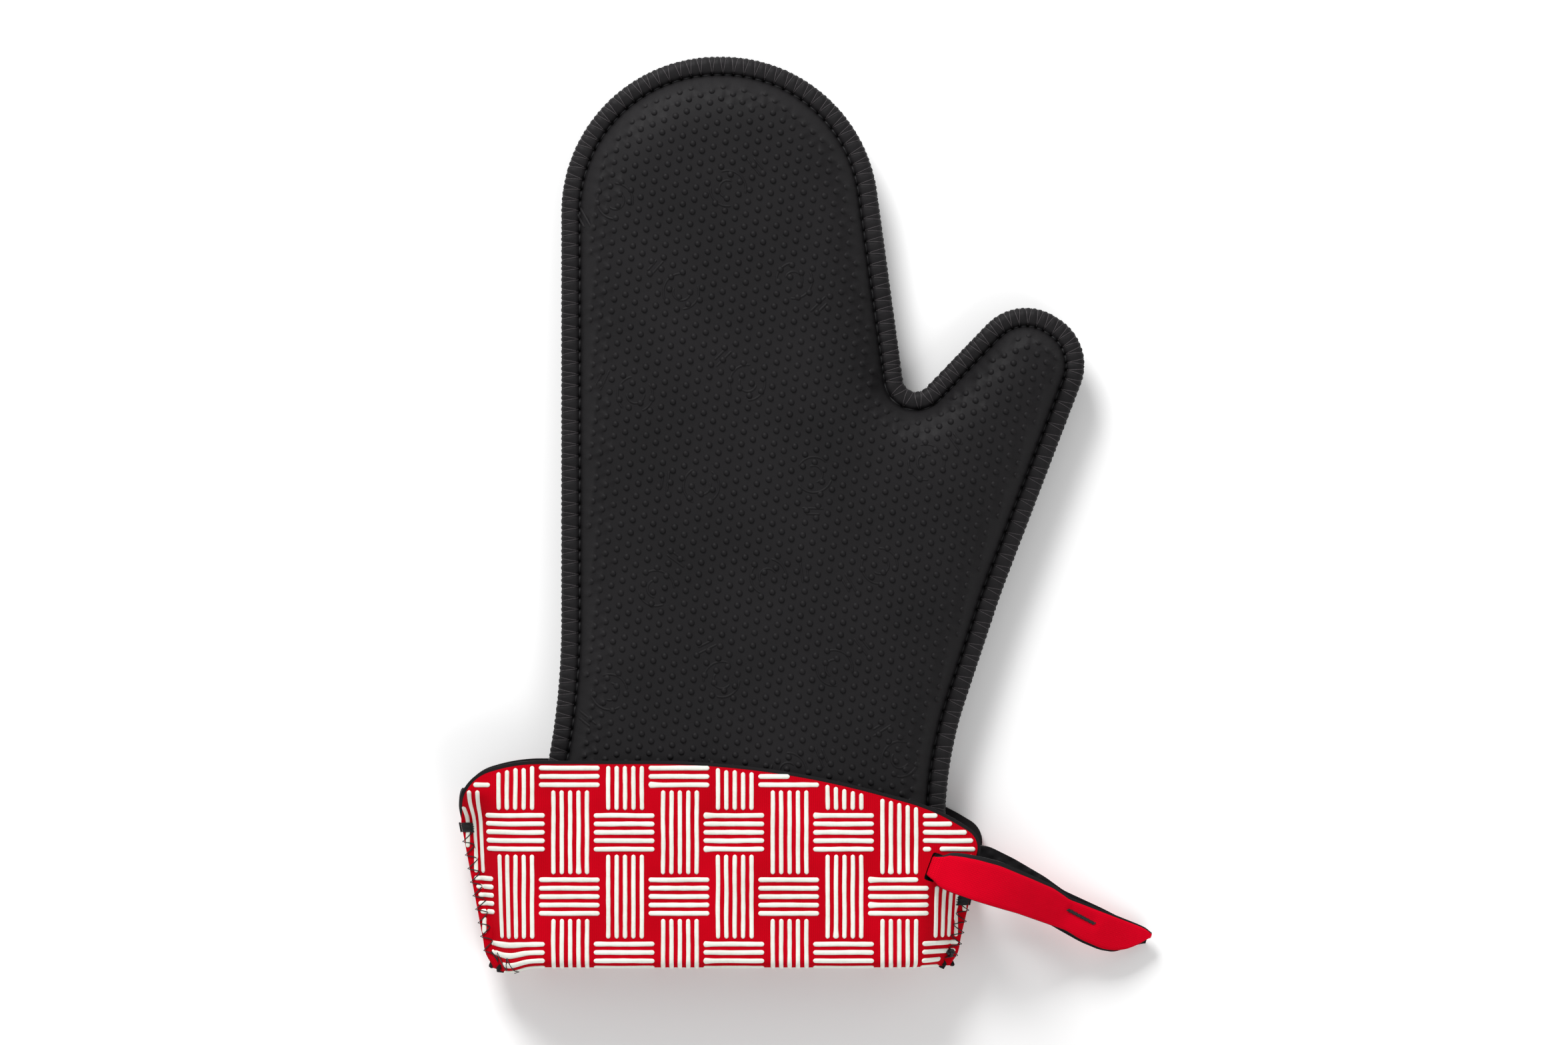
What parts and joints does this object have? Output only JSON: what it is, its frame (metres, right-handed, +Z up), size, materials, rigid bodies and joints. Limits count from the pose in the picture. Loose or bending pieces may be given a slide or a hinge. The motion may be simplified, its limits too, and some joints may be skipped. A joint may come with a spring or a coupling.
{
  "type": "oven mitt",
  "caption": "Rubber-faced oven mitt with a thumb, overlocked edge seam, turned-up printed jersey cuff with side vents, and a hanging loop on the cuff.",
  "frame": {"origin": "on the flat face that the back of the hand rests on, on the hand's centre line, 180 mm from the cuff fold", "axes": "+Z up out of the palm, +Y towards the fingertips, thumb on +X"},
  "size_m": [0.2662, 0.3483, 0.0384],
  "materials": {
    "black_foam_rubber": "matte",
    "red_jersey": "matte",
    "white_grip_rubber": "satin",
    "black_thread": "satin"
  },
  "bodies": {
    "mitt": {"palm_foam_shell": "black_foam_rubber", "palm_lining": "red_jersey", "front_cuff_grip_print": "white_grip_rubber", "back_foam_shell": "black_foam_rubber", "back_lining": "red_jersey", "back_cuff_grip_print": "white_grip_rubber", "hand_seam_needle_thread": "black_thread", "hand_seam_upper_looper_thread": "black_thread", "hand_seam_lower_looper_thread": "black_thread", "left_cuff_seam_thread": "black_thread", "right_cuff_seam_thread": "black_thread", "left_cuff_bar_tack": "black_thread", "right_cuff_bar_tack": "black_thread", "right_cuff_seam_knot": "black_thread"},
    "hanging_loop": {"hanging_strap_foam": "black_foam_rubber", "hanging_strap_facing": "red_jersey", "hanging_strap_bar_tack": "black_thread"}
  },
  "joints": [
    {"name": "hanging_loop_swing", "type": "hinge", "parent": "mitt", "child": "hanging_loop", "pos_m": [0.084, -0.1427, 0.0323], "axis": [-0.342, -0.9397, 0], "range_deg": [0, 36]}
  ]
}
